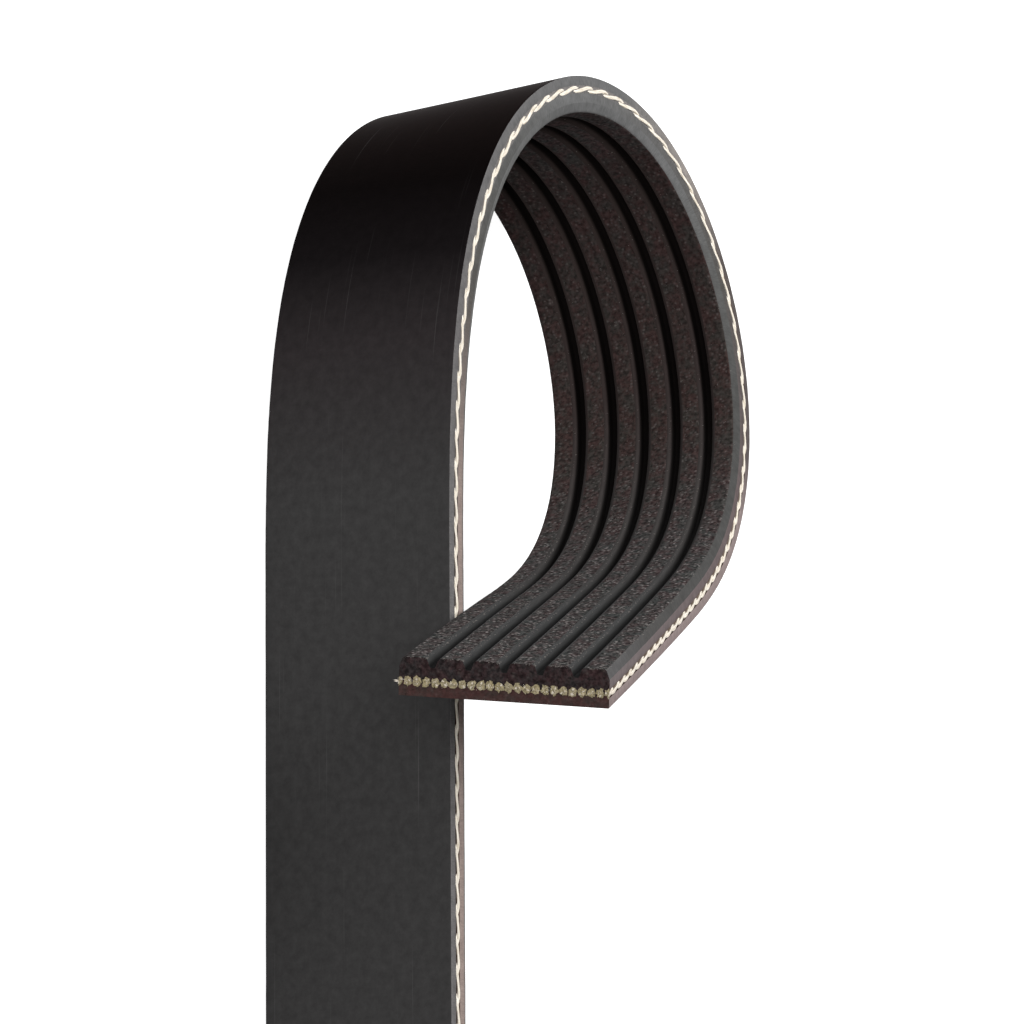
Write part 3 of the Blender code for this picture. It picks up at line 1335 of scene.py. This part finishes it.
@dataclass(frozen=True)
class Studio:
    """A pale floor, a white surround, a soft key lamp high up and a fill lamp by the camera."""

    floor_size: float = 6.0
    floor_colour: str = "#b8b8b8"
    floor_lift: float = 0.94
    world_strength: float = 0.12
    lamps: tuple[Lamp, ...] = (Lamp("key_lamp", (-0.52, 0.06, 1.05), 0.7, 15.0),
                               Lamp("fill_lamp", (0.1, -1.05, 0.6), 0.5, 6.5))

    def pale(self, tree: NodeTree) -> NodeSocket:
        """Tells the rays that see the background straight on, in a reflection or through something clear.

        Args:
            tree: The node tree.

        Returns:
            1 for those rays, and 0 for the rest.
        """
        rays = add_node(tree, "LightPath").outputs
        seen = add_node(tree, "Math", {"operation": "MAXIMUM", 0: rays["Is Camera Ray"],
                                       1: rays["Is Glossy Ray"]}).outputs["Value"]
        return add_node(tree, "Math", {"operation": "MAXIMUM", 0: seen,
                                       1: rays["Is Transmission Ray"]}).outputs["Value"]

    def lay_floor(self) -> None:
        """Lays the floor that the belt stands on."""
        material, tree, shader = new_material("pale_studio_floor")
        shader.inputs["Base Color"].default_value = linear(self.floor_colour)
        shader.inputs["Roughness"].default_value = 1.0
        shader.inputs["Specular IOR Level"].default_value = 0.0
        shader.inputs["Emission Color"].default_value = (1, 1, 1, 1)
        lift = add_node(tree, "Math", {"operation": "MULTIPLY", 0: self.pale(tree), 1: self.floor_lift})
        tree.links.new(lift.outputs["Value"], shader.inputs["Emission Strength"])
        corners = np.array([(-1, -1, 0), (1, -1, 0), (1, 1, 0), (-1, 1, 0)]) * self.floor_size / 2
        floor = mesh_object("studio_floor", (corners, [(0, 1, 2, 3)], None), [material])

    def light_world(self) -> None:
        """Lights the surround: soft on the object, white where the camera or a reflection sees it."""
        world = bpy.data.worlds.new("studio_surround")
        bpy.context.scene.world = world
        world.use_nodes = True
        tree = world.node_tree
        ground = tree.nodes["Background"]
        ground.inputs["Color"].default_value = (1, 1, 1, 1)
        strength = add_node(tree, "MapRange", {"To Min": self.world_strength, "To Max": 1.0,
                                               "Value": self.pale(tree)})
        tree.links.new(strength.outputs["Result"], ground.inputs["Strength"])

    def build(self) -> None:
        """Lays the floor and sets the lights."""
        self.lay_floor()
        self.light_world()
        for lamp in self.lamps:
            lamp.hang()


@dataclass(frozen=True)
class ProductCamera:
    """A long lens that looks down on the standing belt, turned so that the belt's straight runs upright."""

    place: Triple = (0.15483, -0.84996, 0.5183)
    right: Triple = (0.00986, 0.50716, 0.8618)
    down: Triple = (0.98489, 0.14411, -0.09607)
    lens: float = 347.28
    sensor: float = 36.0
    clip: Pair = (0.05, 20.0)

    def build(self) -> None:
        """Sets up the camera and makes it the scene's own."""
        right = Vector(self.right).normalized()
        forward = right.cross(Vector(self.down)).normalized()
        axes = Matrix((right, right.cross(forward), -forward)).transposed().to_4x4()
        camera = bpy.data.cameras.new("product_camera")
        camera.lens = self.lens
        camera.sensor_width = self.sensor
        camera.clip_start, camera.clip_end = self.clip
        holder = in_scene("product_camera", camera)
        holder.matrix_world = Matrix.Translation(self.place) @ axes
        bpy.context.scene.camera = holder


def rubber_finishes() -> dict[Zone, Material]:
    """Builds the finishes of the rubber.

    Returns:
        The material of each zone.
    """
    finishes = {
        # The back's painted reflection, and the shades along the belt of the sides, flanks and rib tops, hold
        # painted light and shade as well as the rubber's own tone
        Zone.BACK: MouldedBack(),
        Zone.SIDE: GroundSide(name="ground_back_layer_side", shades=(
            (100, "#666464"), (150, "#646464"), (163, "#8a8480"), (173, "#534d4b"), (195, "#564f4f"),
            (205, "#897c7a"))),
        Zone.RIB_SIDE: GroundSide(name="ground_rib_layer_side", shades=(
            (84, "#8a7c76"), (106, "#4f4d4b"), (124, "#545453"), (140, "#666666"), (175, "#4f4d4b"),
            (205, "#655a5a"), (270, "#716868"))),
        Zone.EDGE_FLANK: GroundSide(name="ground_edge_flank", shades=(
            (118, "#696968"), (140, "#606060"), (160, "#656565"), (175, "#555554"), (188, "#494948"),
            (255, "#494847"), (268, "#555454"))),
        Zone.SLIT: SlitChannel(),
        Zone.FLANK: MouldedFlank(name="smooth_rib_flank", shades=(
            (165, "#3a3230"), (185, "#332c2b"), (205, "#3b3837"), (245, "#3b3b3b"))),
        Zone.RIB_TOP: FibreRubber(name="fibre_filled_rib_rubber", shades=(
            (150, "#4a4343"), (159, "#3f3534"), (192, "#3f3634"), (217, "#454040"), (245, "#3a3737"))),
        Zone.CHANNEL: MouldedFlank(name="cord_channel", shades=flat("#1c1310")),
        Zone.CUT_BACK: FibreRubber(name="cut_back_rubber", shades=flat("#4b3a38"), fleck="#7a6866",
                                   calm=(0.8, 1.2)),
        Zone.CUT_RIBS: FibreRubber(name="cut_rib_rubber", shades=flat("#362d2e"), fleck="#857b74",
                                   calm=(0.5, 1.6)),
    }
    return {zone: finish.build() for zone, finish in finishes.items()}


def triangle_count(piece: Object) -> int:
    """Counts a piece's triangles."""
    return sum(len(face.vertices) - 2 for face in piece.data.polygons)


def main() -> None:
    """Builds the studio and the belt's pieces in order."""
    logging.basicConfig(level=logging.INFO, format="%(name)s: %(message)s")
    bpy.context.scene.view_settings.view_transform = "Standard"
    ProductCamera().build()
    Studio().build()

    route = BeltRoute(frame["record"])
    section = BeltSection()
    cord_finish = PolyesterCord().build()
    cut_cord = FibreRubber(name="cut_polyester_ends", shades=flat("#a0957a"), fleck="#c8bfa4", warm="#ffffff",
                           cool="#fffdf2", grain=Pattern(0.25, 0.25, 3.0, 0.6, found=(0.36, 0.64)),
                           calm=(0.55, 1.35), relief_mm=0.03).build()
    fibre_finish = PolyesterCord(name="chopped_fibre_end", shade="#4c4745", light="#7f7a74").build()

    spacing = section.width / (CORD_COUNT - 1)
    cords = [(number - (CORD_COUNT - 1) / 2) * spacing for number in range(CORD_COUNT)]
    body = RubberBody(route, section).build(cords[1:-1], rubber_finishes())
    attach(body, BODY)
    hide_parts("rubber_body")
    log.info("%s: %d triangles", body.name, triangle_count(body))

    for number, across in enumerate(cords, start=1):
        cord = TensileCord(number, across, route, section).build(cord_finish, cut_cord)
        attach(cord, BODY)
        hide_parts(f"cord_{number:02d}")
        log.info("%s: %d triangles", cord.name, triangle_count(cord))

    fibres = RibFibres(route, section).build(fibre_finish)
    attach(fibres, BODY)
    log.info("%s: %d triangles", fibres.name, triangle_count(fibres))


if __name__ == "__main__":
    main()
